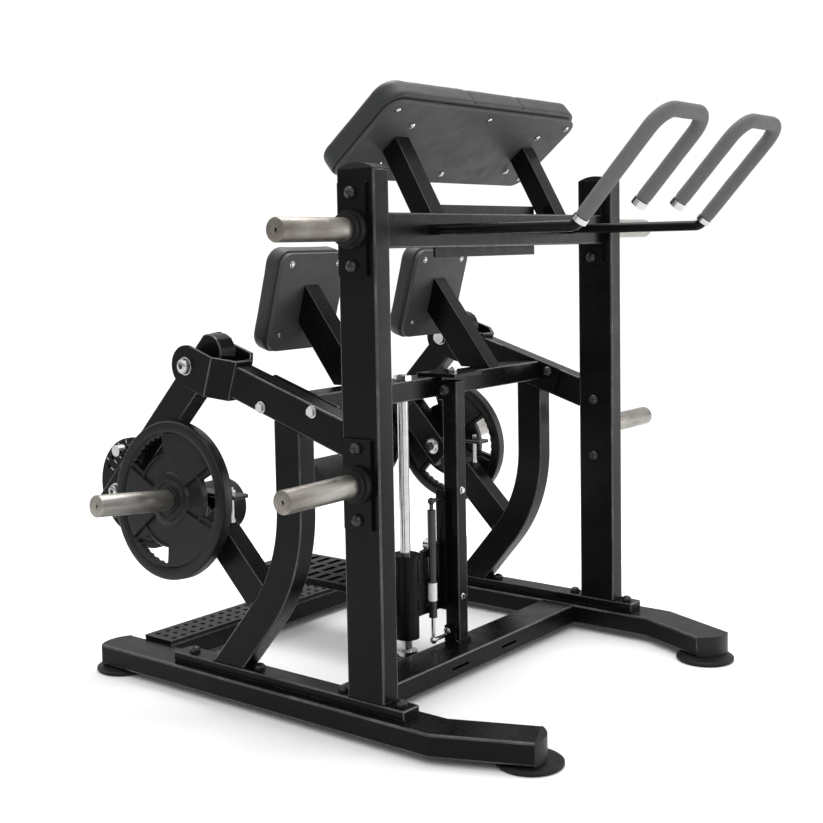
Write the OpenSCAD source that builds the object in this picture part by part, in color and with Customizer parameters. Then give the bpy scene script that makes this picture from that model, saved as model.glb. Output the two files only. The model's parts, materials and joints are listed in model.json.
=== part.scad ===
// Plate-loaded standing leg curl machine with two independent levers.
// X runs across the machine, the user faces -Y, Z is up, and the floor is Z = 0.
// Inside the modules Y is measured from the centreline of the two posts.

/* [Floor frame] */
// Distance from the middle of the machine to the centreline of each side
side_x = 495; // [490:1:500]
// Width of the floor rails
rail_w = 100; // [90:1:104]
// Height of the floor rails
rail_h = 50; // [45:1:50]
// Gap under the floor rails, filled by the feet
rail_z = 16; // [14:1:18]
// Y of the rails' rear ends
rail_rear = 845; // [835:1:860]
// Radius of the rubber feet
foot_r = 71; // [60:1:75]

/* [Posts] */
// Height of the posts' top ends
post_top = 1216; // [1210:1:1225]
// Width of the square and rectangular side tubes
tube_w = 50; // [48:1:50]
// Depth of the posts
post_d = 100; // [95:1:100]
// Heights of the two storage horns on each post
horn_z = [557, 1091];
// Radius of the plate horns
horn_r = 25; // [24:0.5:25]
// X of the storage horns' tips
horn_tip_x = 758; // [740:1:790]

/* [Lever] */
// Y and Z of the lever's pivot
pivot = [481, 790];
// Slope of the lever tube below the horizontal
lever_slope = 46.5; // [46:0.1:47]
// Length of the lever tube below its pivot
lever_len = 518; // [510:1:520]
// Radius of the foam rollers
roller_r = 70; // [60:1:72]
// Radius of the weight plates
plate_r = 186; // [176:1:187]

/* [Platform] */
// Height of the foot platform's tread in its lowest place
platform_z = 189; // [186:1:192]
// Width of the foot platform
platform_w = 214; // [200:1:220]

/* [Hidden] */
$fn = 64;

frame_black = "#1c1d1f";
rubber_black = "#262626";
vinyl_black = "#202123";
board_black = "#2e2e30";
chrome_grey = "#c9ccd0";
steel_grey = "#a8a49a";

origin_dy = -160.6;             // puts the middle of the machine's length at Y = 0
wall = 3;                       // wall of the steel tubes
half_w = tube_w / 2;
rail_in = side_x - rail_w / 2;
rail_top = rail_z + rail_h;
bar_w = 54;                     // raised bars that carry the posts
bar_top = rail_top + 23;
bar_y = [-104, 600];
bend_y = -171;                  // where the rails turn inward
bend_angle = 23.5;
bend_len = 208;
cross_y = [57, 157];            // front cross member
rear_y = [697, 797];            // rear cross member
tread_t = 12;
flange_t = 8;                   // flanges, ears and bolted plates
inner_x = side_x - half_w;      // inner faces of the posts and beams
outer_x = side_x + half_w;
crossbar_z = [1050, 1126];
mid_y = [172, 247];
mid_z = [681, 731];
beam_slope = 17.9;
tube_h = 75;                    // long side of the beam and lever tubes
yoke_reach = 114;               // pivot to the beam's end
yoke_h = 96;
yoke_half = 68;
support_y = 211.5;              // centreline of the upright part of the supports
support_r = 387.5;
support_z = 475;
support_turn = 40;
brace_end = [463, 409];
horn_y = 5;
plate_half = 37.5;              // half the storage plates' width
plate_bolt_dz = 76;             // storage plates' bolts above and below the horn
base_bolt_y = [-77, 82, 337, 554];
board_t = 12;
cushion_t = 52;
thigh_cushion_t = 46;
chest_p = [14.7, 1347.1];       // top screw row of the chest board
chest_slope = 140.6;            // direction up the board, from +Y towards +Z
thigh_p = [345, 1017];
thigh_slope = 105.4;
thigh_x = 260;
arm_x = 262;                    // centrelines of the chest pad's arms
handle_x = 287;
return_x = 90;
handle_z = 1089;
handle_bend_y = -384;
handle_slope = 48.4;
handle_len = 295;               // bend to the middle of the loop's top
handle_bend_r = 50;
bar_r = 12;
grip_r = 16;
lever_top = 60;                 // lever tube beyond its pivot
pin_r = 10;
pin_fit = 0.05;                 // radial clearance of the running fits
arm_at = 270;                   // where the weight arm leaves the lever
arm_slope = 47.2;
arm_len = 225;
horn_at = 176;                  // load horn along the weight arm
horn_tilt = 5.7;
horn_len = 289;                 // arm's middle to the load horn's tip
horn_root_r = 24;               // part of a horn inside its socket
plate_w = [46, 80];             // the weight plate's place along the horn
stop_y = 415;
stop_z = [480, 490];
disc_at = 452;                  // index disc along the lever
disc_r = 125;
disc_x = [452, 466];
index_r = norm([88, 57]);        // circle of the index holes, through the index pin
index_step = 15;
axle_reach = 93;                // disc's middle to the roller axle
axle_angle = -104;
axle_r = 12.5;
roller_x = [156, 446];
rod_xy = [-130, 190];           // chrome guide rod
rod_r = 13;
sleeve_r = 31.5;
sleeve_z = [97, 293];
upright_x = [-15, 22];
upright_y = [113, 155];
strut_xy = [-72, 152];
strut_z = [82, 430];            // the gas strut's ball joints
strut_r = 10.5;
slide_gap = 0.5;                // clearance between the carriage and its upright
lug_top = rail_top - 12;        // lug that carries the guide rod
lock_p = [3.5, 300];            // X and Z of the platform's lock pin
free_play = 0.5;                // a withdrawn pin's distance from its hole

function lever_dir() = [cos(lever_slope), -sin(lever_slope)];
function lever_up() = [sin(lever_slope), cos(lever_slope)];
function arm_dir() = [-cos(arm_slope), -sin(arm_slope)];
function lever_point(s) = pivot + s * lever_dir();
function horn_point() = lever_point(arm_at) + horn_at * arm_dir();
function disc_point() = lever_point(disc_at);
function axle_point() = disc_point() + axle_reach * [cos(axle_angle), sin(axle_angle)];
function pin_point() = lever_point(disc_at - 88) + 57 * lever_up();

// ---- helpers ----
module placed() { translate([0, origin_dy, 0]) children(); }
module both() { children(); mirror([1, 0, 0]) children(); }
module on_side(side) { if (side > 0) children(); else mirror([1, 0, 0]) children(); }

// Extrudes an outline drawn in Y and Z from x0 to x1.
module extrude_x(x0, x1) { translate([x0, 0, 0]) rotate([90, 0, 90]) linear_extrude(x1 - x0) children(); }

// A round bar along X, centred on a point given as [Y, Z].
module bar_x(p, r, x0, x1) { translate([x0, p[0], p[1]]) rotate([0, 90, 0]) cylinder(r = r, h = x1 - x0); }

// A rectangle from a to b as an outline, h wide.
module strip(a, b, h) {
    v = b - a;
    translate(a) rotate(atan2(v[1], v[0])) translate([0, -h / 2]) square([norm(v), h]);
}

module rounded(size, r) {
    translate([r, 0]) square([size[0] - 2 * r, size[1]]);
    translate([0, r]) square([size[0], size[1] - 2 * r]);
    for (x = [r, size[0] - r], y = [r, size[1] - r]) translate([x, y]) circle(r = r);
}

module box(x, y, z) { translate([x[0], y[0], z[0]]) cube([x[1] - x[0], y[1] - y[0], z[1] - z[0]]); }

// A rectangular tube along X.
module tube_x(x, y, z) {
    difference() {
        box(x, y, z);
        box([x[0] - 1, x[1] + 1], [y[0] + wall, y[1] - wall], [z[0] + wall, z[1] - wall]);
    }
}

// A tube in the side plane whose outline is child 0 and whose hollow is child 1.
module side_tube() {
    difference() {
        extrude_x(inner_x, outer_x) children(0);
        extrude_x(inner_x + wall, outer_x - wall) children(1);
    }
}

module dome_bolt(r = 13, skirt = 6, rise = 8) {
    ball = (r * r + rise * rise) / (2 * rise);
    cylinder(r = r, h = skirt);
    translate([0, 0, skirt]) intersection() {
        translate([0, 0, rise - ball]) sphere(r = ball);
        cylinder(r = r, h = rise);
    }
}

module hex_bolt(r = 11, h = 9) {
    cylinder(r = r * 1.25, h = 2);
    translate([0, 0, 2]) cylinder(r = r, h = h - 2, $fn = 6);
}

// ---- floor frame ----
module rail_outline(inset) {
    d = rail_w / 2 - inset;
    u = [-sin(bend_angle), -cos(bend_angle)];
    n = [cos(bend_angle), -sin(bend_angle)];
    f = [side_x, bend_y] + (bend_len + (inset > 0 ? 1 : 0)) * u;
    k = tan(bend_angle / 2);
    rear = rail_rear + (inset > 0 ? 1 : 0);
    polygon([[side_x - d, rear], [side_x + d, rear], [side_x + d, bend_y - d * k],
        f + d * n, f - d * n, [side_x - d, bend_y + d * k]]);
}

module rail(side) {
    color(frame_black) placed() on_side(side) difference() {
        translate([0, 0, rail_z]) linear_extrude(rail_h) rail_outline(0);
        translate([0, 0, rail_z + wall]) linear_extrude(rail_h - 2 * wall) rail_outline(wall);
    }
}
module right_rail() { rail(-1); }
module left_rail() { rail(1); }

// A cap with a bulging face, standing on the XZ plane and facing -Y.
module bulged_cap(w, h, bulge) {
    r = (w * w / 4 + bulge * bulge) / (2 * bulge);
    linear_extrude(h) intersection() {
        translate([0, r - bulge]) circle(r = r, $fn = 128);
        translate([-w / 2, -bulge]) square([w, bulge]);
    }
}

// Bulged plastic caps on the rails' ends and the posts' tops.
module tube_caps() {
    rise = 13;
    r = (post_d * post_d / 4 + rise * rise) / (2 * rise);
    color(frame_black) placed() both() {
        translate([side_x - bend_len * sin(bend_angle), bend_y - bend_len * cos(bend_angle), rail_z])
            rotate([0, 0, -bend_angle]) bulged_cap(rail_w, rail_h, 18);
        translate([side_x, rail_rear, rail_z]) rotate([0, 0, 180]) bulged_cap(rail_w, rail_h, 18);
        extrude_x(inner_x, outer_x) intersection() {
            translate([0, post_top + rise - r]) circle(r = r, $fn = 180);
            translate([-post_d / 2, post_top]) square([post_d, rise]);
        }
    }
}

module foot() {
    rotate_extrude() polygon([[0, 0], [foot_r - 3, 0], [foot_r, 3], [foot_r, 8], [foot_r - 4, 11],
        [32, rail_z], [0, rail_z]]);
}
module floor_feet() {
    color(rubber_black) placed() both() {
        translate([412, -341, 0]) foot();
        translate([side_x + 2, 812, 0]) foot();
    }
}

module base_bars() {
    color(frame_black) placed() both()
        box([side_x - bar_w / 2, side_x + bar_w / 2], bar_y, [rail_top, bar_top]);
}

module cross_members() {
    color(frame_black) placed() {
        difference() {
            tube_x([-rail_in, rail_in], cross_y, [rail_z, rail_top]);
            for (x = [-90, 121]) box([x - 34, x + 34], [cross_y[0] - 1, cross_y[0] + wall + 1], [37, 43]);
        }
        tube_x([-rail_in, rail_in], rear_y, [rail_z, rail_top]);
        // lug behind the front tube, under the guide rod
        box([rod_xy[0] - 34, rod_xy[0] + 34], [cross_y[1], rod_xy[1] + 34], [lug_top - 10, lug_top]);
    }
}

module rear_tread_plate() {
    edge = rail_in - 2;
    base_t = tread_t - 2;
    color(frame_black) placed() {
        box([-edge, edge], rear_y, [rail_top, rail_top + base_t]);
        for (i = [-13:13], j = [0:2])
            translate([i * 32, rear_y[0] + 20 + j * 30, rail_top + base_t])
                cylinder(r = 6, h = 2, $fn = 24);
    }
}

// ---- posts, beams and supports ----
module post(side) {
    color(frame_black) placed() on_side(side) difference() {
        box([inner_x, outer_x], [-post_d / 2, post_d / 2], [bar_top, post_top]);
        box([inner_x + wall, outer_x - wall], [wall - post_d / 2, post_d / 2 - wall], [bar_top - 1, post_top + 1]);
    }
}
module right_post() { post(-1); }
module left_post() { post(1); }

module beam_outline(h) {
    u = [cos(beam_slope), sin(beam_slope)];
    n = [-sin(beam_slope), cos(beam_slope)];
    e = pivot - yoke_reach * u;
    zc = pivot[1] - (pivot[0] - post_d / 2) * tan(beam_slope);
    dz = h / 2 / cos(beam_slope);
    polygon([[post_d / 2, zc - dz], e - h / 2 * n, e + h / 2 * n, [post_d / 2, zc + dz]]);
}
module pivot_beams() {
    color(frame_black) placed() both() side_tube() {
        beam_outline(tube_h);
        beam_outline(tube_h - 2 * wall);
    }
}

module support_outline(h) {
    c = [support_y + support_r, support_z];
    foot_dir = [sin(support_turn), -cos(support_turn)];
    start = c - support_r * [cos(support_turn), sin(support_turn)];
    difference() {
        union() {
            strip([support_y, support_z], [support_y, 760], h);
            intersection() {
                translate(c) difference() {
                    circle(r = support_r + h / 2, $fn = 180);
                    circle(r = support_r - h / 2, $fn = 180);
                }
                polygon([c, c - 900 * [1, 0], c - 1200 * [cos(support_turn / 2), sin(support_turn / 2)],
                    c - 900 * [cos(support_turn), sin(support_turn)]]);
            }
            strip(start, start + 260 * foot_dir, h);
        }
        translate([0, -200]) square([800, 200 + bar_top]);
        // the beam's underside closes the top
        zc = pivot[1] - pivot[0] * tan(beam_slope) - tube_h / 2 / cos(beam_slope);
        polygon([[0, zc], [600, zc + 600 * tan(beam_slope)], [600, 1300], [0, 1300]]);
    }
}
module curved_supports() {
    color(frame_black) placed() both() side_tube() {
        support_outline(tube_h);
        support_outline(tube_h - 2 * wall);
    }
}

module brace_outline(h) {
    difference() {
        strip(brace_end - [233, 233], brace_end, h);
        support_outline(tube_h);
        // nothing is left in front of the support
        polygon([[0, 0], [0, 500], [support_y, 500], [250, 260], [300, 180], [360, bar_top], [360, 0]]);
    }
}
module stop_braces() {
    color(frame_black) placed() both() side_tube() {
        brace_outline(tube_h);
        brace_outline(tube_h - 2 * wall);
    }
}

module pivot_yokes() {
    k = yoke_half;
    t = flange_t;
    color(frame_black) placed() both() at_pivot() rotate([beam_slope, 0, 0]) difference() {
        translate([0, 0, -yoke_h / 2]) linear_extrude(yoke_h) difference() {
            polygon([[k, yoke_h], [k, -73], [27, -yoke_reach], [-27, -yoke_reach], [-k, -73], [-k, yoke_h]]);
            polygon([[k - t, yoke_h + 1], [k - t, -70], [23, t - yoke_reach],
                [-23, t - yoke_reach], [t - k, -70], [t - k, yoke_h + 1]]);
        }
        // round ends of the ears
        extrude_x(-k - 1, k + 1) difference() {
            translate([0, -yoke_h]) square([2 * yoke_h, 2 * yoke_h]);
            circle(r = yoke_h / 2);
        }
        bar_x([0, 0], pin_r + pin_fit, -k - 1, k + 1);
    }
}

module pivot_bolts() {
    k = yoke_half;
    color(chrome_grey) placed() both() at_pivot() {
        bar_x([0, 0], pin_r, -k, k);
        for (a = [0, 180]) rotate([0, 0, a]) translate([k, 0, 0]) rotate([0, 90, 0]) {
            cylinder(r = 21, h = 3);
            translate([0, 0, 3]) cylinder(r1 = 19, r2 = 17, h = 9);
        }
    }
}

module upper_crossbar() {
    color(frame_black) placed() {
        tube_x([flange_t - inner_x, inner_x - flange_t], [-half_w, half_w], crossbar_z);
        both() box([inner_x - flange_t, inner_x], [-27, 40],
            [horn_z[1] - plate_bolt_dz - 18, horn_z[1] + plate_bolt_dz + 18]);
    }
}

module crossbar_back_plate() {
    color(frame_black) placed() box([-210, 210], [half_w, half_w + 6], [1027, 1147]);
}

module mid_crossbar() {
    color(frame_black) placed() {
        difference() {
            tube_x([flange_t - inner_x, inner_x - flange_t], mid_y, mid_z);
            translate([rod_xy[0], rod_xy[1], 600]) cylinder(r = rod_r, h = 200);
        }
        both() translate([0, mid_y[0] + 38, mid_z[0] + 25]) rotate([beam_slope, 0, 0])
            box([inner_x - flange_t, inner_x], [-100, 100], [-36, 36]);
    }
}

// ---- pads and handles ----
// Turns a frame so that Y runs up a pad's board and -Z is its cushion's side.
module on_board(p, slope) { translate([0, p[0], p[1]]) rotate([slope, 0, 0]) children(); }

// The half plane on the cushion's side of a board, as an outline in Y and Z.
module board_side(p, slope) { translate(p) rotate(slope) translate([-900, -1800]) square([1800, 1800]); }

module chest_pad_arms() {
    foot_p = [6, crossbar_z[1]];
    top_p = chest_p + 101 * [-cos(chest_slope), -sin(chest_slope)];
    dir = (top_p - foot_p) / norm(top_p - foot_p);
    color(frame_black) placed() both() difference() {
        extrude_x(arm_x - half_w, arm_x + half_w) difference() {
            strip(foot_p - 60 * dir, top_p + 60 * dir, tube_w);
            board_side(chest_p, chest_slope);
            translate([-300, crossbar_z[1] - 300]) square([600, 300]);
        }
        extrude_x(arm_x - half_w + wall, arm_x + half_w - wall)
            strip(foot_p - 61 * dir, top_p + 61 * dir, tube_w - 2 * wall);
    }
}

module chest_pad_board() {
    color(board_black) placed() on_board(chest_p, chest_slope) translate([-383, -219, -board_t])
        linear_extrude(board_t) rounded([766, 244], 40);
}

module chest_pad_cushion() {
    color(vinyl_black) placed() on_board(chest_p, chest_slope) translate([-389, -227, -board_t - cushion_t])
        linear_extrude(cushion_t) rounded([778, 266], 48);
}

module thigh_pad_arms() {
    foot_p = [228, mid_z[1]];
    top_p = thigh_p + 99 * [-cos(thigh_slope), -sin(thigh_slope)];
    dir = (top_p - foot_p) / norm(top_p - foot_p);
    color(frame_black) placed() both() difference() {
        extrude_x(thigh_x - half_w, thigh_x + half_w) difference() {
            strip(foot_p - 90 * dir, top_p + 90 * dir, tube_h);
            board_side(thigh_p, thigh_slope);
            translate([0, mid_z[1] - 300]) square([600, 300]);
        }
        extrude_x(thigh_x - half_w + wall, thigh_x + half_w - wall)
            strip(foot_p - 91 * dir, top_p + 91 * dir, tube_h - 2 * wall);
    }
}

module thigh_pad_boards() {
    color(board_black) placed() both() on_board(thigh_p, thigh_slope)
        translate([thigh_x - 114, -215, -board_t]) linear_extrude(board_t) rounded([228, 240], 30);
}

module thigh_cushion(side) {
    color(vinyl_black) placed() on_side(side) on_board(thigh_p, thigh_slope)
        translate([thigh_x - 121, -222, -board_t - thigh_cushion_t])
            linear_extrude(thigh_cushion_t) rounded([242, 254], 36);
}
module right_thigh_cushion() { thigh_cushion(-1); }
module left_thigh_cushion() { thigh_cushion(1); }

module pad_screw() { cylinder(r = 8, h = 1.5); translate([0, 0, 1.5]) cylinder(r1 = 7, r2 = 4, h = 2.5); }
module pad_screws() {
    color(chrome_grey) placed() {
        on_board(chest_p, chest_slope) {
            for (x = [-352, 0, 352], s = [-186.7, 0]) translate([x, s, 0]) pad_screw();
            for (x = [-arm_x, arm_x], s = [-165, -40]) translate([x, s, 0]) pad_screw();
        }
        both() on_board(thigh_p, thigh_slope) for (x = [-83, 83], s = [-173, 0])
            translate([thigh_x + x, s, 0]) pad_screw();
    }
}

// The part of a handle's path above its bend: a loop in the plane of the leg.
module handle_loop(r, low, back_low) {
    straight = handle_len - handle_bend_r;
    translate([0, handle_bend_y, handle_z]) rotate([90 - handle_slope, 0, 0]) {
        translate([handle_x, 0, low]) cylinder(r = r, h = straight - low);
        translate([return_x, 0, back_low]) cylinder(r = r, h = straight - back_low);
        translate([return_x + handle_bend_r, 0, handle_len]) rotate([0, 90, 0])
            cylinder(r = r, h = handle_x - return_x - 2 * handle_bend_r);
        for (e = [[handle_x - handle_bend_r, 0], [return_x + handle_bend_r, 90]])
            translate([e[0], 0, straight]) rotate([90, 0, 0]) rotate([0, 0, e[1]])
                rotate_extrude(angle = 90) translate([handle_bend_r, 0]) circle(r = r);
    }
}

module handle_bars() {
    low_r = 24;
    run = low_r * tan(handle_slope / 2);
    seam = 0.05;                // the stem and its bend are pieces of their own
    color(frame_black) placed() both() {
        translate([handle_x, -half_w, handle_z]) rotate([90, 0, 0])
            cylinder(r = bar_r, h = -handle_bend_y - half_w - run - seam);
        translate([handle_x, handle_bend_y + run, handle_z + low_r]) rotate([90, 0, 90])
            rotate([0, 0, -90 - handle_slope]) rotate_extrude(angle = handle_slope)
                translate([low_r, 0]) circle(r = bar_r);
        handle_loop(bar_r, run + seam, 58);
    }
}

module handle_grips() {
    color(rubber_black) placed() both() difference() {
        handle_loop(grip_r, 24, 71);
        handle_loop(bar_r, 20, 60);
    }
}

module handle_trims() {
    color(chrome_grey) placed() both() translate([0, handle_bend_y, handle_z]) rotate([90 - handle_slope, 0, 0]) {
        translate([handle_x, 0, 12]) difference() {
            cylinder(r = grip_r + 1, h = 12);
            translate([0, 0, -1]) cylinder(r = bar_r, h = 14);
        }
        translate([return_x, 0, 55]) difference() {
            cylinder(r = grip_r + 1, h = 16);
            translate([0, 0, 3]) cylinder(r = bar_r, h = 16);
        }
    }
}

// ---- plate storage ----
module storage_plates() {
    color(frame_black) placed() both() for (z = horn_z) difference() {
        box([outer_x, outer_x + flange_t], [horn_y - plate_half, horn_y + plate_half], [z - 97, z + 97]);
        bar_x([horn_y, z], horn_root_r, outer_x - 1, outer_x + 9);
    }
}

module storage_collars() {
    x0 = outer_x + flange_t;
    color(rubber_black) placed() both() for (z = horn_z) difference() {
        union() {
            bar_x([horn_y, z], 40, x0, x0 + 14);
            bar_x([horn_y, z], 35, x0 + 14, x0 + 24);
        }
        bar_x([horn_y, z], horn_root_r, x0 - 1, x0 + 25);
    }
}

module storage_horns() {
    color(steel_grey) placed() both() for (z = horn_z) {
        bar_x([horn_y, z], horn_root_r, outer_x, outer_x + flange_t + 24);
        bar_x([horn_y, z], horn_r, outer_x + flange_t + 24, horn_tip_x);
    }
}

// ---- fasteners ----
module dome_bolts() {
    color(rubber_black) placed() both() {
        for (z = horn_z, s = [-1, 1]) {
            translate([outer_x + flange_t, horn_y, z + s * plate_bolt_dz]) rotate([0, 90, 0]) dome_bolt();
            translate([inner_x - (z > 900 ? flange_t : 0), horn_y, z + s * plate_bolt_dz])
                rotate([0, -90, 0]) dome_bolt();
        }
        for (y = base_bolt_y) translate([side_x, y, bar_top]) dome_bolt();
        translate([inner_x - flange_t, 143, 704]) rotate([0, -90, 0]) dome_bolt();
    }
}

module chrome_bolts() {
    color(chrome_grey) placed() both() {
        for (y = [134, 286]) translate([outer_x, y, 702]) rotate([0, 90, 0]) hex_bolt();
        translate([inner_x - flange_t, 284, 706]) rotate([0, -90, 0]) hex_bolt();
    }
    // through the front of the platform's upright
    color(chrome_grey) placed() for (z = [183, 450])
        translate([0, upright_y[0], z]) rotate([90, 0, 0]) hex_bolt(7, 7);
}

// ---- levers ----
module at_pivot() { translate([side_x, pivot[0], pivot[1]]) children(); }

module lever_outline(h, end = 0) { strip(lever_point(-lever_top - end), lever_point(lever_len + end), h); }

module lever(side) {
    cap_bulge = 23;
    r = (tube_h * tube_h / 4 + cap_bulge * cap_bulge) / (2 * cap_bulge);
    color(frame_black) placed() on_side(side) difference() {
        union() {
            extrude_x(inner_x, outer_x) {
                lever_outline(tube_h);
                intersection() {
                    translate(lever_point(-lever_top - cap_bulge + r)) circle(r = r, $fn = 128);
                    strip(lever_point(-lever_top - cap_bulge), lever_point(-lever_top), tube_h);
                }
            }
            bar_x(pivot, 30, side_x - 59.5, side_x + 59.5);
        }
        difference() {
            extrude_x(inner_x + wall, outer_x - wall)
                strip(lever_point(-lever_top), lever_point(lever_len - wall), tube_h - 2 * wall);
            for (p = [pivot, disc_point()]) bar_x(p, 30, 0, 900);
        }
        bar_x(pivot, pin_r + pin_fit, side_x - 80, side_x + 80);
        bar_x(disc_point(), pin_r, side_x - 80, side_x + 80);
    }
    // ear and barrel that guide the index pin
    color(frame_black) placed() on_side(side) difference() {
        extrude_x(inner_x, inner_x + 10) difference() {
            union() {
                translate(pin_point()) circle(r = 18);
                strip(lever_point(disc_at - 88) + 30 * lever_up(), pin_point(), 36);
            }
            lever_outline(tube_h);
        }
        bar_x(pin_point(), 5 + pin_fit, 0, 900);
    }
    color(frame_black) placed() on_side(side) difference() {
        bar_x(pin_point(), 11, inner_x + 10, inner_x + 34);
        bar_x(pin_point(), 5 + pin_fit, 0, 900);
    }
}
module right_lever() { lever(-1); }
module left_lever() { lever(1); }

// Places a frame at the load horn with Z along it and X towards its underside.
module at_horn() {
    p = lever_point(arm_at) + horn_at * arm_dir();
    translate([side_x, p[0], p[1]]) rotate([0, 90 - horn_tilt, 0]) children();
}

module weight_arm(side) {
    a0 = lever_point(arm_at);
    a1 = a0 + arm_len * arm_dir();
    color(frame_black) placed() on_side(side) {
        difference() {
            extrude_x(inner_x, outer_x) difference() {
                strip(a0, a1, tube_h);
                lever_outline(tube_h);
            }
            extrude_x(inner_x + wall, outer_x - wall) strip(a0, a1 - wall * arm_dir(), tube_h - 2 * wall);
            at_horn() translate([0, 0, -60]) cylinder(r = horn_root_r, h = 120);
        }
        // stop bracket and its gusset
        difference() {
            union() {
                extrude_x(inner_x + 2, outer_x - 2) difference() {
                    polygon([[380, stop_z[0]], [560, stop_z[0]], [560, stop_z[1]], [380, stop_z[1]]]);
                    strip(a0, a1, tube_h);
                    polygon([[500, 420], [700, 620], [700, 420]]);
                }
                extrude_x(side_x - 4, side_x + 4) difference() {
                    polygon([[432, stop_z[0]], [560, stop_z[0]], [480, 440]]);
                    strip(a0, a1 + 40 * arm_dir(), tube_h);
                    polygon([[500, 420], [700, 620], [700, 420]]);
                }
            }
            translate([side_x, stop_y, 400]) cylinder(r = 6, h = 200);
        }
    }
}
module right_weight_arm() { weight_arm(-1); }
module left_weight_arm() { weight_arm(1); }

module load_horn(side) {
    color(steel_grey) placed() on_side(side) at_horn() {
        seat = plate_w[0] - 0.3;
        free = plate_w[1] + 1;
        translate([0, 0, -31]) cylinder(r = horn_root_r, h = 60);
        translate([0, 0, 29]) cylinder(r = 36, h = seat - 29);
        translate([0, 0, seat]) cylinder(r = horn_root_r, h = free - seat);
        translate([0, 0, free]) cylinder(r = horn_r, h = horn_len - free);
    }
}
module right_load_horn() { load_horn(-1); }
module left_load_horn() { load_horn(1); }

// The stop bolt and the bolt on which the index disc turns.
module lever_bolts(side) {
    color(chrome_grey) placed() on_side(side) {
        // the brace's upper face slopes, so the head stands just clear of it
        pad = 8;
        low = stop_y + pad + brace_end[1] - brace_end[0] + tube_h / 2 * sqrt(2) + 0.4;
        translate([side_x, stop_y, 0]) {
            translate([0, 0, low]) cylinder(r = pad, h = 7);
            translate([0, 0, low + 7]) cylinder(r = 6, h = stop_z[1] + 14 - low - 7);
            translate([0, 0, stop_z[1]]) cylinder(r = 10, h = 8, $fn = 6);
        }
        bar_x(disc_point(), pin_r, disc_x[0] - 3, outer_x + 2);
        bar_x(disc_point(), 17, disc_x[0] - 8, disc_x[0] - 0.4);
        bar_x(disc_point(), 19, outer_x, outer_x + 4);
        bar_x(disc_point(), 15, outer_x + 4, outer_x + 14);
    }
}
module right_lever_bolts() { lever_bolts(-1); }
module left_lever_bolts() { lever_bolts(1); }

module index_disc(side) {
    p = disc_point();
    first = atan2(pin_point()[1] - p[1], pin_point()[0] - p[0]);
    color(frame_black) placed() on_side(side) difference() {
        bar_x(p, disc_r, disc_x[0], disc_x[1]);
        bar_x(p, pin_r + pin_fit, 0, 900);
        for (i = [-5:5]) bar_x(p + index_r * [cos(first + i * index_step), sin(first + i * index_step)],
            5 + pin_fit, 0, 900);
        bar_x(axle_point(), axle_r, 0, 900);
    }
}
module right_index_disc() { index_disc(-1); }
module left_index_disc() { index_disc(1); }

module roller_axle(side) {
    color(chrome_grey) placed() on_side(side) {
        bar_x(axle_point(), axle_r, roller_x[0] - 2, disc_x[1]);
        bar_x(axle_point(), 20, roller_x[0] - 10, roller_x[0] - 2);
    }
}
module right_roller_axle() { roller_axle(-1); }
module left_roller_axle() { roller_axle(1); }

module leg_roller(side) {
    color(rubber_black) placed() on_side(side) difference() {
        bar_x(axle_point(), roller_r, roller_x[0], roller_x[1]);
        bar_x(axle_point(), axle_r + pin_fit, 0, 900);
    }
}
module right_leg_roller() { leg_roller(-1); }
module left_leg_roller() { leg_roller(1); }

// A pin with a round knob, drawn just clear of the hole it enters in the index disc.
module index_pin(side) {
    color(chrome_grey) placed() on_side(side) {
        bar_x(pin_point(), 5, disc_x[1] + free_play, inner_x + 46);
        bar_x(pin_point(), 14, inner_x + 46, inner_x + 67);
    }
}
module right_index_pin() { index_pin(-1); }
module left_index_pin() { index_pin(1); }

module weight_plate(side) {
    w = plate_w[1] - plate_w[0];
    color(rubber_black) placed() on_side(side) at_horn() translate([0, 0, plate_w[0]]) difference() {
        cylinder(r = plate_r, h = w, $fn = 128);
        translate([0, 0, -1]) cylinder(r = horn_r + 0.1, h = w + 2);
        // hand windows and shallow faces between them
        for (a = [22, 142, 262]) rotate([0, 0, a]) {
            linear_extrude(3 * w, center = true) difference() {
                window_sector(152, 22);
                circle(r = 112);
            }
            for (z = [-1, w - 7]) translate([0, 0, z]) linear_extrude(8) difference() {
                window_sector(158, 27);
                circle(r = 60);
            }
        }
    }
}
module window_sector(r, half_angle) {
    intersection() {
        circle(r = r, $fn = 128);
        polygon([[0, 0], 400 * [cos(half_angle), -sin(half_angle)], 400 * [cos(half_angle), sin(half_angle)]]);
    }
}
module right_weight_plate() { weight_plate(-1); }
module left_weight_plate() { weight_plate(1); }

// ---- foot platform ----
module guide_rod() {
    color(chrome_grey) placed() translate([rod_xy[0], rod_xy[1], lug_top]) {
        cylinder(r = rod_r, h = mid_z[1] + 14 - lug_top);
        difference() {
            cylinder(r = 26, h = 12);
            translate([0, 0, -1]) cylinder(r = rod_r, h = 14);
        }
        translate([0, 0, mid_z[1] - lug_top]) difference() {
            cylinder(r = 22, h = 12, $fn = 6);
            translate([0, 0, -1]) cylinder(r = rod_r, h = 14);
        }
    }
}

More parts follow.
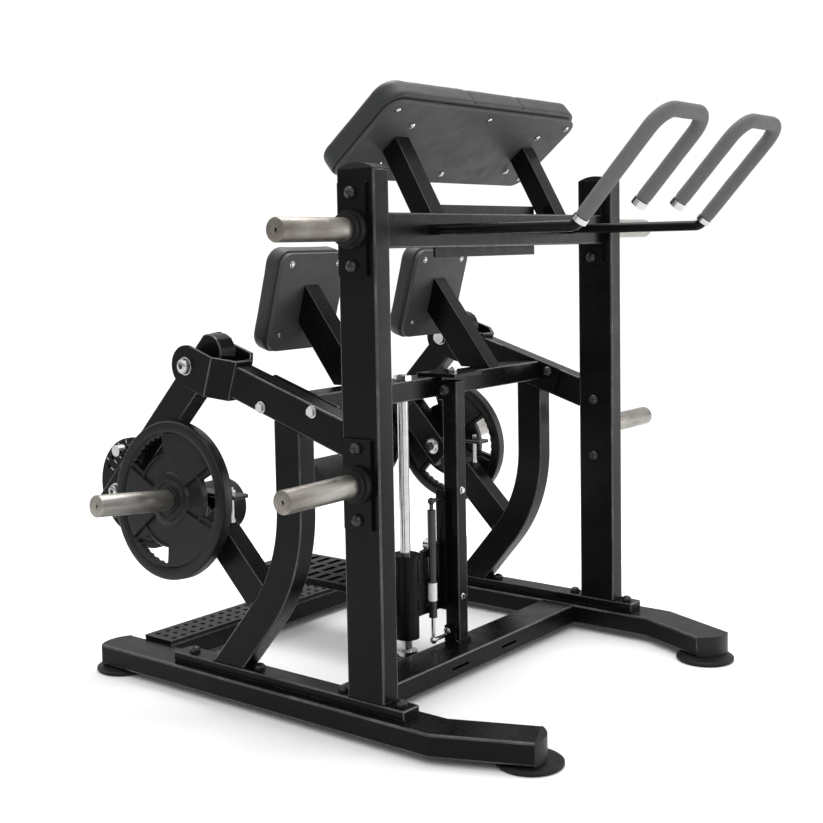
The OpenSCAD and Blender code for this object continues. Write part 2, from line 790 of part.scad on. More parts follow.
module guide_upright() {
    x = upright_x;
    y = upright_y;
    color(frame_black) placed() {
        difference() {
            box(x, y, [rail_top + 8, mid_z[0] + 40]);
            box([x[0] + wall, x[1] - wall], [y[0] + wall, y[1] - wall], [0, 900]);
            // lock holes in the rear wall
            for (i = [0:8]) translate([lock_p[0], y[1] + 5, lock_p[1] + i * 25]) rotate([90, 0, 0])
                cylinder(r = 6.05, h = 20);
        }
        box([x[0] - 8, x[1] + 8], [y[0] - 4, y[1]], [rail_top, rail_top + 8]);
        // bracket that ties the upright's top to the crossbar
        box([x[0] - 8, x[1] + 70], [y[0] - 4, mid_y[1] - 20], [mid_z[0] + 50, mid_z[0] + 58]);
        box([x[0], x[1]], [y[1], mid_y[0]], [mid_z[0] - 8, mid_z[0] + 50]);
        // clevis plate for the gas strut
        box([x[0] - 8, x[0]], [y[0] + 8, y[1]], [rail_top + 8, 108]);
    }
}

module strut_rod() {
    x = strut_xy[0];
    color(chrome_grey) placed() {
        translate([x, strut_xy[1], strut_z[0]]) cylinder(r = 5, h = 300);
        translate([x, strut_xy[1], strut_z[0] + 300]) cylinder(r = 8.6, h = 8);
        translate([x, strut_xy[1], strut_z[0]]) sphere(r = 9);
        bar_x([strut_xy[1], strut_z[0]], 5, x, upright_x[0] - 8);
    }
}

module strut_cylinder() {
    color("#1a1b1d") placed() {
        difference() {
            translate([strut_xy[0], strut_xy[1], 140]) cylinder(r = strut_r, h = 268);
            translate([strut_xy[0], strut_xy[1], 139]) cylinder(r = 5 + pin_fit, h = 12);
            translate([strut_xy[0], strut_xy[1], 150]) cylinder(r = strut_r - 1.5, h = 250);
        }
        translate([strut_xy[0], strut_xy[1], 408]) cylinder(r = 5, h = 22);
        translate([strut_xy[0], strut_xy[1], strut_z[1]]) sphere(r = 9);
        bar_x([strut_xy[1], strut_z[1]], 5, strut_xy[0], upright_x[0] - slide_gap - 15);
    }
}

module carriage_sleeve() {
    color(frame_black) placed() translate([rod_xy[0], rod_xy[1], sleeve_z[0]]) difference() {
        union() {
            cylinder(r = sleeve_r, h = sleeve_z[1] - sleeve_z[0]);
            translate([0, 0, sleeve_z[1] - sleeve_z[0]]) cylinder(r = sleeve_r + 4, h = 12);
        }
        translate([0, 0, -1]) cylinder(r = rod_r + pin_fit, h = 400);
    }
}

module carriage_frame() {
    l = upright_x[0] - slide_gap - 10;
    r = upright_x[1] + slide_gap;
    back = upright_y[1] + slide_gap + 6;
    color(frame_black) placed() {
        // channel to the left of the upright and plate to its right
        box([l - 5, l], [upright_y[0] + 28, back + 8], [150, 450]);
        box([r, r + 5], [upright_y[0] + 4, back], [150, 330]);
        difference() {
            union() {
                box([l, r + 5], [back, back + 8], [150, 330]);
                translate([lock_p[0], back + 8, lock_p[1]]) rotate([-90, 0, 0]) cylinder(r = 11, h = 25);
            }
            translate([lock_p[0], 100, lock_p[1]]) rotate([-90, 0, 0]) cylinder(r = 5 + pin_fit, h = 200);
        }
        // web to the sleeve with two windows
        difference() {
            box([rod_xy[0] + 4, l], [back, back + 8], [150, 310]);
            for (z = [168, 240]) box([-92, -46], [0, 400], [z, z + 50]);
            translate([rod_xy[0], rod_xy[1], 0]) cylinder(r = sleeve_r, h = 400);
            // room for the sleeve's rim and for the strut
            translate([rod_xy[0], rod_xy[1], sleeve_z[1]]) cylinder(r = sleeve_r + 4, h = 40);
            translate([strut_xy[0], strut_xy[1], 0]) cylinder(r = strut_r + slide_gap, h = 440);
        }
    }
}

module platform_arm() {
    back = upright_y[1] + slide_gap + 14;
    color(frame_black) placed() difference() {
        union() {
            for (x = [-34, 40]) difference() {
                extrude_x(x - 15, x + 15)
                    polygon([[back, 150], [back, 300], [back + 30, 300], [back + 75, 175], [735, 175], [735, 150]]);
                extrude_x(x - 12, x + 12)
                    polygon([[back + 8, 153], [back + 27, 292], [back + 72, 172], [732, 172], [732, 153]]);
            }
            box([-96, 96], [280, 300], [150, 175]);
            box([-96, 96], [710, 730], [150, 175]);
        }
        translate([rod_xy[0], rod_xy[1], 0]) cylinder(r = sleeve_r, h = 400);
    }
}

module platform_tread() {
    w = platform_w / 2;
    color(frame_black) placed() difference() {
        box([-w, w], [252, 752], [175, platform_z]);
        for (j = [0:11], i = [-1:1]) box([i * 66 - 26, i * 66 + 26],
            [272 + j * 39, 290 + j * 39], [100, 300]);
    }
}

// A pin through the carriage, drawn just clear of the hole it enters in the upright.
module platform_lock_pin() {
    y0 = upright_y[1] + free_play;
    color(chrome_grey) placed() translate([lock_p[0], y0, lock_p[1]]) rotate([-90, 0, 0]) {
        cylinder(r = 5, h = 52);
        translate([0, 0, 52]) cylinder(r = 14, h = 21);
    }
}

right_rail();
left_rail();
tube_caps();
floor_feet();
base_bars();
cross_members();
rear_tread_plate();
right_post();
left_post();
curved_supports();
stop_braces();
pivot_beams();
pivot_yokes();
pivot_bolts();
upper_crossbar();
crossbar_back_plate();
mid_crossbar();
chest_pad_arms();
chest_pad_board();
chest_pad_cushion();
thigh_pad_arms();
thigh_pad_boards();
right_thigh_cushion();
left_thigh_cushion();
handle_bars();
handle_grips();
handle_trims();
storage_plates();
storage_collars();
storage_horns();
dome_bolts();
chrome_bolts();
pad_screws();
guide_rod();
guide_upright();
strut_rod();
carriage_sleeve();
carriage_frame();
platform_arm();
platform_tread();
strut_cylinder();
platform_lock_pin();
right_lever();
right_weight_arm();
right_load_horn();
right_lever_bolts();
right_index_disc();
right_roller_axle();
right_leg_roller();
right_index_pin();
right_weight_plate();
left_lever();
left_weight_arm();
left_load_horn();
left_lever_bolts();
left_index_disc();
left_roller_axle();
left_leg_roller();
left_index_pin();
left_weight_plate();
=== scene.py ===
"""The looks of a plate-loaded standing leg curl machine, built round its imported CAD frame."""

import json
import math

import bmesh
import bpy
import numpy as np
from mathutils import Matrix, Vector, noise
from mathutils.bvhtree import BVHTree


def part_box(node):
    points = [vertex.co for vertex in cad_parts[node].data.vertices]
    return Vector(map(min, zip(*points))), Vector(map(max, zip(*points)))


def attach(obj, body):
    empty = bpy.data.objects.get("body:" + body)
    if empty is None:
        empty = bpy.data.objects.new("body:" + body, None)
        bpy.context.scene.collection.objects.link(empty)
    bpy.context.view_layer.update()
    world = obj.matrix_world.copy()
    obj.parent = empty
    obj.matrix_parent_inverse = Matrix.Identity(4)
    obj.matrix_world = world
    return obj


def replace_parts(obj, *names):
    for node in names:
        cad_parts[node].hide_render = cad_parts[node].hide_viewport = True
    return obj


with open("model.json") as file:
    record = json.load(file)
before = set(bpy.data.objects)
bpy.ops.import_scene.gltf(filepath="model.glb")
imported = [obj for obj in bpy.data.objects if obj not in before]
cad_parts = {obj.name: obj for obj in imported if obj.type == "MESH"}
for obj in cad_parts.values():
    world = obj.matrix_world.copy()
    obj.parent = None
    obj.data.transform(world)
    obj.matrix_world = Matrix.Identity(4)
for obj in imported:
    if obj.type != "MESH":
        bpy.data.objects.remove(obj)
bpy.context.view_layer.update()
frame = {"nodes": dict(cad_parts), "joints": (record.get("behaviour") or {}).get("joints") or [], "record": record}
nodes = frame["nodes"]
body_of = {n: b for b, members in frame["record"]["behaviour"]["bodies"].items() for n in members}
slot_of = {s["node"]: s["material_slot"] for s in frame["record"]["subparts"]}
SIDES = (("right", -1), ("left", 1))
MM = 0.001


# ---- materials ----
class Shader:
    """A Principled material with helpers that feed its sockets from procedural textures."""

    def __init__(self, name, **constants):
        self.material = bpy.data.materials.new(name)
        self.material.use_nodes = True
        self.tree = self.material.node_tree
        self.tree.nodes.clear()
        self.bsdf = self.tree.nodes.new("ShaderNodeBsdfPrincipled")
        out = self.tree.nodes.new("ShaderNodeOutputMaterial")
        self.tree.links.new(self.bsdf.outputs[0], out.inputs[0])
        self.coords = self.tree.nodes.new("ShaderNodeTexCoord").outputs["Object"]
        for socket, value in constants.items():
            self.bsdf.inputs[socket.replace("_", " ")].default_value = value

    def link(self, a, b):
        self.tree.links.new(a, b)

    def stretched(self, scale):
        m = self.tree.nodes.new("ShaderNodeMapping")
        m.inputs["Scale"].default_value = scale
        self.link(self.coords, m.inputs["Vector"])
        return m.outputs[0]

    def noise(self, scale, detail=3.0, rough=0.55, stretch=None):
        n = self.tree.nodes.new("ShaderNodeTexNoise")
        n.inputs["Scale"].default_value = scale
        n.inputs["Detail"].default_value = detail
        n.inputs["Roughness"].default_value = rough
        self.link(self.stretched(stretch) if stretch else self.coords, n.inputs["Vector"])
        return n.outputs["Fac"]

    def cells(self, scale):
        n = self.tree.nodes.new("ShaderNodeTexVoronoi")
        n.feature = "DISTANCE_TO_EDGE"
        n.inputs["Scale"].default_value = scale
        self.link(self.coords, n.inputs["Vector"])
        return n.outputs["Distance"]

    def spread(self, value, low, high, start=0.3, end=0.7):
        m = self.tree.nodes.new("ShaderNodeMapRange")
        m.inputs["From Min"].default_value, m.inputs["From Max"].default_value = start, end
        m.inputs["To Min"].default_value, m.inputs["To Max"].default_value = low, high
        self.link(value, m.inputs["Value"])
        return m.outputs[0]

    def ramp(self, value, *stops):
        r = self.tree.nodes.new("ShaderNodeValToRGB")
        elements = r.color_ramp.elements
        while len(elements) < len(stops):
            elements.new(0.5)
        for e, (place, colour) in zip(elements, stops):
            e.position, e.color = place, (*colour, 1)
        self.link(value, r.inputs[0])
        return r.outputs[0]

    def math(self, kind, a, b):
        m = self.tree.nodes.new("ShaderNodeMath")
        m.operation = kind
        for i, x in enumerate((a, b)):
            if isinstance(x, (int, float)):
                m.inputs[i].default_value = x
            else:
                self.link(x, m.inputs[i])
        return m.outputs[0]

    def colour(self, value, *stops):
        self.link(self.ramp(value, *stops), self.bsdf.inputs["Base Color"])

    def roughness(self, value):
        self.link(value, self.bsdf.inputs["Roughness"])

    def bump(self, *layers):
        """Layers are (height, distance in metres)."""
        normal = None
        for height, distance in layers:
            b = self.tree.nodes.new("ShaderNodeBump")
            b.inputs["Strength"].default_value = 1.0
            b.inputs["Distance"].default_value = distance
            self.link(height, b.inputs["Height"])
            if normal is not None:
                self.link(normal, b.inputs["Normal"])
            normal = b.outputs[0]
        self.link(normal, self.bsdf.inputs["Normal"])


def grey(v, warm=0.0):
    """A grey of one value, leaning towards red (warm) or blue (below zero)."""
    return (v * (1 + warm), v, v * (1 - warm))


def make_materials():
    mats = {}

    s = Shader("powder_coat", Specular_IOR_Level=0.09)
    s.colour(s.noise(7, 5), (0.25, grey(0.0026, -0.08)), (0.75, grey(0.0048, -0.08)))
    s.roughness(s.spread(s.noise(22, 6, 0.65), 0.20, 0.34))
    s.bump((s.noise(1500, 2, 0.6), 0.00006), (s.noise(240, 2), 0.00005))
    mats["frame_paint"] = s.material

    # the coat on the rounded edges: its lighter colour is a painted highlight along every edge, and its higher
    # gloss is real
    s = Shader("powder_coat_painted_highlight", Specular_IOR_Level=0.45)
    s.colour(s.noise(14, 6, 0.7), (0.30, grey(0.010, -0.05)), (0.52, grey(0.034, -0.05)),
             (0.75, grey(0.085, -0.05)))
    s.roughness(s.spread(s.noise(40, 5, 0.65), 0.16, 0.30))
    s.bump((s.noise(900, 2), 0.00004))
    mats["frame_edge"] = s.material

    s = Shader("roller_foam", Specular_IOR_Level=0.18)
    s.colour(s.noise(1100, 3, 0.7), (0.3, grey(0.008)), (0.7, grey(0.019)))
    s.roughness(s.spread(s.noise(50, 4), 0.60, 0.78))
    s.bump((s.noise(1600, 3, 0.75), 0.00022), (s.noise(60, 2), 0.0004))
    mats["roller_foam"] = s.material

    s = Shader("moulded_rubber", Specular_IOR_Level=0.16)
    s.colour(s.noise(30, 5), (0.3, grey(0.006)), (0.75, grey(0.011)))
    s.roughness(s.spread(s.noise(60, 4), 0.42, 0.6))
    s.bump((s.noise(1100, 3), 0.00012))
    mats["black_rubber"] = s.material

    s = Shader("plate_rubber", Specular_IOR_Level=0.20)
    s.colour(s.noise(16, 5), (0.25, grey(0.0045, -0.04)), (0.75, grey(0.0085, -0.04)))
    s.roughness(s.spread(s.noise(40, 6, 0.7), 0.24, 0.40))
    s.bump((s.noise(900, 4, 0.7), 0.00010), (s.noise(120, 2), 0.00010))
    mats["plate_rubber"] = s.material

    s = Shader("cap_plastic", Specular_IOR_Level=0.2)
    s.colour(s.noise(20, 4), (0.3, grey(0.007)), (0.7, grey(0.012)))
    s.roughness(s.spread(s.noise(80, 4), 0.40, 0.54))
    s.bump((s.cells(700), 0.00008))
    mats["cap_plastic"] = s.material

    s = Shader("dome_plastic", Specular_IOR_Level=0.35)
    s.colour(s.noise(60, 3), (0.3, grey(0.010)), (0.7, grey(0.016)))
    s.roughness(s.spread(s.noise(120, 4), 0.22, 0.34))
    s.bump((s.noise(700, 2), 0.00005))
    mats["dome_plastic"] = s.material

    s = Shader("pad_board", Specular_IOR_Level=0.3)
    s.colour(s.noise(9, 6), (0.25, grey(0.036)), (0.75, grey(0.050)))
    s.roughness(s.spread(s.noise(30, 5), 0.42, 0.58))
    s.bump((s.noise(1400, 3, 0.7), 0.00010))
    mats["pad_board"] = s.material

    s = Shader("vinyl", Specular_IOR_Level=0.38, Coat_Weight=0.06, Coat_Roughness=0.45)
    s.colour(s.noise(5, 4), (0.25, grey(0.0095, -0.10)), (0.75, grey(0.0145, -0.10)))
    s.roughness(s.spread(s.noise(18, 5), 0.40, 0.55))
    grain = s.math("MULTIPLY", s.cells(620), s.spread(s.noise(300, 3), 0.5, 1.5))
    s.bump((s.noise(38, 3), 0.0010), (grain, 0.00035))
    mats["vinyl"] = s.material

    s = Shader("foam_rubber", Specular_IOR_Level=0.22)
    s.colour(s.noise(1300, 3, 0.7), (0.3, grey(0.075)), (0.7, grey(0.150)))
    s.roughness(s.spread(s.noise(50, 4), 0.74, 0.88))
    s.bump((s.noise(1800, 3, 0.75), 0.00025), (s.noise(60, 2), 0.0004))
    mats["grip_foam"] = s.material

    s = Shader("chrome", Metallic=1.0)
    s.colour(s.noise(25, 4), (0.3, grey(0.40)), (0.7, grey(0.54)))
    s.roughness(s.spread(s.noise(140, 6, 0.7), 0.10, 0.24))
    s.bump((s.noise(90, 3), 0.00006))
    mats["chrome"] = s.material

    s = Shader("turned_steel", Metallic=0.92)
    worn = s.math("ADD", s.noise(5, 4, 0.5),
                  s.spread(s.noise(60, 5, 0.7, stretch=(0.12, 1, 1)), -0.12, 0.12))
    s.colour(worn, (0.30, (0.16, 0.145, 0.125)), (0.50, (0.27, 0.255, 0.23)), (0.70, (0.36, 0.35, 0.33)))
    s.roughness(s.spread(s.noise(48, 7, 0.7), 0.30, 0.52))
    s.bump((s.noise(1, 2, 0.5, stretch=(2600, 14, 14)), 0.00007), (s.noise(160, 4), 0.00006))
    mats["horn_steel"] = s.material

    s = Shader("strut_paint", Specular_IOR_Level=0.5)
    s.colour(s.noise(30, 3), (0.3, grey(0.008)), (0.7, grey(0.014)))
    s.roughness(s.spread(s.noise(60, 4), 0.16, 0.28))
    s.bump((s.noise(400, 2), 0.00003))
    mats["strut_paint"] = s.material

    s = Shader("white_ink", Specular_IOR_Level=0.3)
    s.colour(s.noise(500, 4), (0.3, grey(0.55)), (0.6, grey(0.78)))
    s.roughness(s.spread(s.noise(200, 3), 0.5, 0.65))
    mats["ink"] = s.material

    s = Shader("socket_shadow", Specular_IOR_Level=0.3)
    s.colour(s.noise(300, 3), (0.3, grey(0.02)), (0.7, grey(0.05)))
    s.roughness(s.spread(s.noise(200, 3), 0.4, 0.6))
    mats["socket"] = s.material

    s = Shader("studio_floor", Specular_IOR_Level=0.25)
    s.colour(s.noise(0.8, 4), (0.2, grey(0.86)), (0.8, grey(0.89)))
    s.roughness(s.spread(s.noise(3, 3), 0.5, 0.62))
    mats["floor"] = s.material
    return mats


MATS = make_materials()


# ---- mesh helpers ----
def add_object(name, mesh, body, slot, material=None):
    """A finished piece that rides on a body and takes a slot's material."""
    obj = bpy.data.objects.new(name, mesh)
    bpy.context.scene.collection.objects.link(obj)
    mesh.materials.clear()
    mesh.materials.append(MATS[material or slot])
    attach(obj, body)
    return obj


def shade(mesh, angle=35):
    mesh.polygons.foreach_set("use_smooth", [True] * len(mesh.polygons))
    mesh.set_sharp_from_angle(angle=math.radians(angle))


def finish_mesh(name, bm, angle=35):
    bmesh.ops.remove_doubles(bm, verts=bm.verts, dist=1e-6)
    bmesh.ops.recalc_face_normals(bm, faces=bm.faces)
    mesh = bpy.data.meshes.new(name)
    bm.to_mesh(mesh)
    bm.free()
    shade(mesh, angle)
    return mesh


def weighted(obj):
    m = obj.modifiers.new("even_normals", "WEIGHTED_NORMAL")
    m.keep_sharp = True


def node_points(node):
    mesh = nodes[node].data
    co = np.empty(len(mesh.vertices) * 3)
    mesh.vertices.foreach_get("co", co)
    return co.reshape(-1, 3)


def softened(node, width):
    """Stands for a CAD node: the same solid with its long outer edges rounded."""
    sharp, narrow, short = math.radians(40), 9 * MM, 2 * MM     # anything under these stays as it is
    bm = bmesh.new()
    bm.from_mesh(nodes[node].data)
    bmesh.ops.remove_doubles(bm, verts=bm.verts, dist=2e-5)
    bmesh.ops.dissolve_limit(bm, angle_limit=math.radians(0.6), verts=bm.verts, edges=bm.edges)
    bm.normal_update()
    chosen = []
    for e in bm.edges:
        if len(e.link_faces) != 2 or not e.is_convex or e.calc_face_angle(0) < sharp:
            continue
        length = e.calc_length()
        if min(f.calc_area() / max(length, 1e-6) for f in e.link_faces) < narrow or length < short:
            continue
        chosen.append(e)
    if chosen:
        bmesh.ops.bevel(bm, geom=chosen, offset=width, offset_type="OFFSET", segments=3,
                        profile=0.5, affect="EDGES", clamp_overlap=False, material=1)
    mesh = finish_mesh(node + "_shape", bm)
    index = np.empty(len(mesh.polygons), dtype=np.int32)
    mesh.polygons.foreach_get("material_index", index)
    obj = add_object("soft_" + node, mesh, body_of[node], slot_of[node])
    painted = slot_of[node] == "frame_paint"
    mesh.materials.append(MATS["frame_edge" if painted else slot_of[node]])
    mesh.polygons.foreach_set("material_index", np.clip(index, 0, 1))   # the rounded edges take a lighter colour: a painted highlight
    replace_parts(obj, node)
    weighted(obj)


def lathe(profile, steps=96):
    """Turns (radius, height) points about Z; returns a bmesh."""
    bm = bmesh.new()
    rings = []
    for r, z in profile:
        if r < 1e-7:
            rings.append([bm.verts.new((0, 0, z))])
        else:
            rings.append([bm.verts.new((r * math.cos(a), r * math.sin(a), z))
                          for a in (2 * math.pi * i / steps for i in range(steps))])
    for a, b in zip(rings, rings[1:]):
        for i in range(steps):
            j = (i + 1) % steps
            if len(a) == 1:
                bm.faces.new((a[0], b[i], b[j]))
            elif len(b) == 1:
                bm.faces.new((a[i], b[0], a[j]))
            else:
                bm.faces.new((a[i], b[i], b[j], a[j]))
    return bm


def along(point, axis):
    """A matrix that puts local Z along an axis at a point."""
    return Matrix.Translation(point) @ Vector(axis).to_track_quat("Z", "Y").to_matrix().to_4x4()


def fillet(r, z0, z1, edge, steps=4):
    """Profile points up a cylinder's side with rounded rims."""
    low = [(r - edge + edge * math.sin(t), z0 + edge - edge * math.cos(t))
           for t in (math.pi / 2 * i / steps for i in range(steps + 1))]
    return low + [(a, z1 - (b - z0)) for a, b in reversed(low)]


# ---- places repeated from the CAD, in millimetres from the posts' centreline ----
lo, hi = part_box("right_post")
POST_Y = (lo.y + hi.y) / 2


def at(x, y, z):
    return Vector((x * MM, y * MM + POST_Y, z * MM))


# one side's mechanism, as (y, z) in the plane its lever swings in
LEVER_X = 495                 # that plane, out from the middle of the machine
LEVER_SLOPE, ARM_SLOPE, HORN_TILT = math.radians(46.5), math.radians(47.2), math.radians(5.7)
PIVOT = (481.0, 790.0)
LEVER = (math.cos(LEVER_SLOPE), -math.sin(LEVER_SLOPE))
ARM = (-math.cos(ARM_SLOPE), -math.sin(ARM_SLOPE))
DISC = (PIVOT[0] + 452 * LEVER[0], PIVOT[1] + 452 * LEVER[1])
PIN = (PIVOT[0] + 364 * LEVER[0] - 57 * LEVER[1], PIVOT[1] + 364 * LEVER[1] + 57 * LEVER[0])
HORN = (PIVOT[0] + 270 * LEVER[0] + 176 * ARM[0], PIVOT[1] + 270 * LEVER[1] + 176 * ARM[1])


def horn_line(side):
    """The point a side's load horn is measured from, and the way it points."""
    return at(side * LEVER_X, *HORN), Vector((side * math.cos(HORN_TILT), 0, math.sin(HORN_TILT)))


# ---- cushions ----
SWELL = 1.2 * MM              # the stuffing lifts a pad's top by about this
MOST_SWELL = 1.8 * MM         # and no point of so firm a pad moves farther than this


def pad_axes(node, board):
    """Centre, half sizes and directions (across, up, out from the board) of a cushion's CAD solid."""
    co = np.unique(np.round(node_points(node), 6), axis=0)
    middle = (co.min(0) + co.max(0)) / 2
    mean = co[:, 1:].mean(0)
    _, _, v = np.linalg.svd(co[:, 1:] - mean, full_matrices=False)
    up, out = v[0], v[1]
    board_co = node_points(board)
    if abs(middle[0]) > 0.1:              # one node holds both thigh boards
        board_co = board_co[board_co[:, 0] * middle[0] > 0]
    near = (board_co[:, 1:].min(0) + board_co[:, 1:].max(0)) / 2
    if (mean - near) @ out < 0:
        out = -out
    if up[1] < 0:
        up = -up
    s, t = (co[:, 1:] - mean) @ up, (co[:, 1:] - mean) @ out
    mean = mean + up * (s.max() + s.min()) / 2 + out * (t.max() + t.min()) / 2
    centre = Vector((middle[0], mean[0], mean[1]))
    half = ((co[:, 0].max() - co[:, 0].min()) / 2, (s.max() - s.min()) / 2, (t.max() - t.min()) / 2)
    return centre, half, (Vector((1, 0, 0)), Vector((0, *up)), Vector((0, *out)))


def rounded_loop(a, b, r, steps=9):
    """A rectangle of half sizes a and b with corners of radius r, as points."""
    pts = []
    for cx, cy, start in ((a - r, b - r, 0), (r - a, b - r, 90),
                          (r - a, r - b, 180), (a - r, r - b, 270)):
        for i in range(steps + 1):
            t = math.radians(start + 90 * i / steps)
            pts.append((cx + r * math.cos(t), cy + r * math.sin(t)))
    return pts


def puff(obj, cap, frames=18):
    """Swells a closed mesh like stuffed fabric; no point moves farther than cap."""
    scene = bpy.context.scene
    n = len(obj.data.vertices)
    rest = np.empty(n * 3)
    obj.data.vertices.foreach_get("co", rest)
    rest = rest.reshape(-1, 3)
    cloth = obj.modifiers.new("stuffing", "CLOTH")
    cloth.settings.quality = 5
    cloth.settings.use_pressure = True
    cloth.settings.uniform_pressure_force = 4
    cloth.settings.effector_weights.gravity = 0
    cloth.point_cache.frame_start, cloth.point_cache.frame_end = 1, frames
    for f in range(1, frames + 1):
        scene.frame_set(f)
    shaped = obj.evaluated_get(bpy.context.evaluated_depsgraph_get())
    co = np.empty(n * 3)
    shaped.data.vertices.foreach_get("co", co)
    move = co.reshape(-1, 3) - rest
    far = np.linalg.norm(move, axis=1, keepdims=True)
    obj.modifiers.remove(cloth)
    scene.frame_set(1)
    obj.data.vertices.foreach_set("co", (rest + move * np.minimum(1, cap / np.maximum(far, 1e-9))).ravel())


def seam_depth(x, seams):
    """How deep the vinyl is drawn in at x: a narrow sewn groove within a wide shallow one."""
    return sum(math.exp(-((x - seam) / (1.7 * MM)) ** 2) * 2.0
               + math.exp(-((x - seam) / (9 * MM)) ** 2) * 1.2 for seam in seams) * MM


def cushion(node, board, radius, seams=()):
    """An upholstered pad: puffed vinyl with a rounded rim, flat on its board, with sewn seams."""
    centre, (a, b, t), (ex, ey, ez) = pad_axes(node, board)
    top, rim, back = 2 * t - SWELL, 13 * MM, 5 * MM
    rings = [(6 * MM, 0.0), (1.5 * MM, 1.2 * MM), (0, back)]
    rings += [(rim * (1 - math.cos(u)), top - rim + rim * math.sin(u))
              for u in (math.pi / 2 * i / 5 for i in range(6))]
    bm = bmesh.new()
    loops = []
    for inset, z in rings:
        loops.append([bm.verts.new((x, y, z))
                      for x, y in rounded_loop(a - inset, b - inset, radius - inset)])
    for low, high in zip(loops, loops[1:]):
        for i in range(len(low)):
            j = (i + 1) % len(low)
            bm.faces.new((low[i], low[j], high[j], high[i]))
    bm.faces.new(loops[0][::-1])
    bm.faces.new(loops[-1])
    mesh = bpy.data.meshes.new(node + "_pad")
    bm.to_mesh(mesh)
    bm.free()
    obj = bpy.data.objects.new("pad_" + node, mesh)
    bpy.context.scene.collection.objects.link(obj)
    remesh = obj.modifiers.new("even", "REMESH")
    remesh.mode, remesh.voxel_size = "VOXEL", 5 * MM
    obj.data = bpy.data.meshes.new_from_object(obj.evaluated_get(bpy.context.evaluated_depsgraph_get()))
    obj.modifiers.clear()
    puff(obj, MOST_SWELL)
    bm = bmesh.new()
    bm.from_mesh(obj.data)
    for x in seams:
        for dx in (-7, -2.2, -0.8, 0.8, 2.2, 7):
            bmesh.ops.bisect_plane(bm, geom=bm.verts[:] + bm.edges[:] + bm.faces[:], dist=1e-5,
                                   plane_co=(x + dx * MM, 0, 0), plane_no=(1, 0, 0))
    bm.normal_update()
    for v in bm.verts:
        p = v.co
        groove = seam_depth(p.x, seams)
        crease = noise.noise(Vector((p.x * 9, p.y * 16, p.z * 12 + 7))) * 0.9 * MM
        v.co = (p - v.normal * (groove if p.z > 3 * MM else 0)
                + v.normal * crease * min(1, p.z / (12 * MM)))
        v.co.z = max(v.co.z, 0.2 * MM)
    origin = centre - ez * t
    bm.transform(Matrix.Translation(origin) @ Matrix((ex, ey, ez)).transposed().to_4x4())
    if ex.cross(ey).dot(ez) < 0:         # the axes mirror the pad
        bmesh.ops.reverse_faces(bm, faces=bm.faces)
    bmesh.ops.recalc_face_normals(bm, faces=bm.faces)
    surface = BVHTree.FromBMesh(bm)
    bm.to_mesh(obj.data)
    bm.free()
    obj.data.materials.append(MATS["vinyl"])
    shade(obj.data, 80)
    smooth = obj.modifiers.new("smooth", "SUBSURF")
    smooth.levels = smooth.render_levels = 1
    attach(obj, body_of[node])
    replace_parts(obj, node)
    for i, x in enumerate(seams):        # the thread lies beside each seam
        thread(f"{obj.name}_thread_{i}", x + 3.4 * MM, b, t, origin, (ex, ey, ez), surface, body_of[node])


def thread(name, x, b, t, origin, axes, surface, body):
    """A row of stitches across the pad at x, laid on its surface."""
    ex, ey, ez = axes
    rim, start, stitch, radius = 16 * MM, 7 * MM, 4.2 * MM, 0.45 * MM
    edge, top = b - SWELL, 2 * t - SWELL
    path = [(-edge, start + (top - rim - start) * k / 12) for k in range(12)]
    path += [(-edge + rim * (1 - math.cos(u)), top - rim + rim * math.sin(u))
             for u in (math.pi / 2 * k / 8 for k in range(8))]
    path += [(-edge + rim + 2 * (edge - rim) * k / 60, top) for k in range(61)]
    path += [(-y, z) for y, z in path[:20]][::-1]
    bm = bmesh.new()
    pts = []
    for y, z in path:
        spot, normal, _, _ = surface.find_nearest(origin + ex * x + ey * y + ez * z)
        pts.append(spot + normal * 0.15 * MM)
    for p, q in zip(pts, pts[1:]):
        d = q - p
        count = max(1, round(d.length / stitch))
        for i in range(count):
            c0, c1 = p + d * (i + 0.12) / count, p + d * (i + 0.82) / count
            bmesh.ops.create_cone(bm, segments=6, radius1=radius, radius2=radius, depth=(c1 - c0).length,
                                  cap_ends=True, matrix=along((c0 + c1) / 2, d))
    add_object(name, finish_mesh(name, bm), body, "vinyl", "grip_foam")


# ---- foam rollers and grips ----
def sweep(name, points, radius_at, steps=28):
    """A closed tube along a smooth line of points; radius_at(share, turn) gives its radius."""
    bm = bmesh.new()
    rings, normal = [], None
    n = len(points)
    for i, p in enumerate(points):
        d = (points[min(i + 1, n - 1)] - points[max(i - 1, 0)]).normalized()
        if normal is None:
            normal = d.orthogonal().normalized()
        normal = (normal - d * normal.dot(d)).normalized()
        side = d.cross(normal)
        ring = []
        for a in (2 * math.pi * k / steps for k in range(steps)):
            spoke = normal * math.cos(a) + side * math.sin(a)
            ring.append(bm.verts.new(p + spoke * radius_at(i / (n - 1), a)))
        rings.append(ring)
    for r0, r1 in zip(rings, rings[1:]):
        for k in range(steps):
            j = (k + 1) % steps
            bm.faces.new((r0[k], r0[j], r1[j], r1[k]))
    bm.faces.new(rings[0][::-1])
    bm.faces.new(rings[-1])
    return finish_mesh(name, bm, 50)


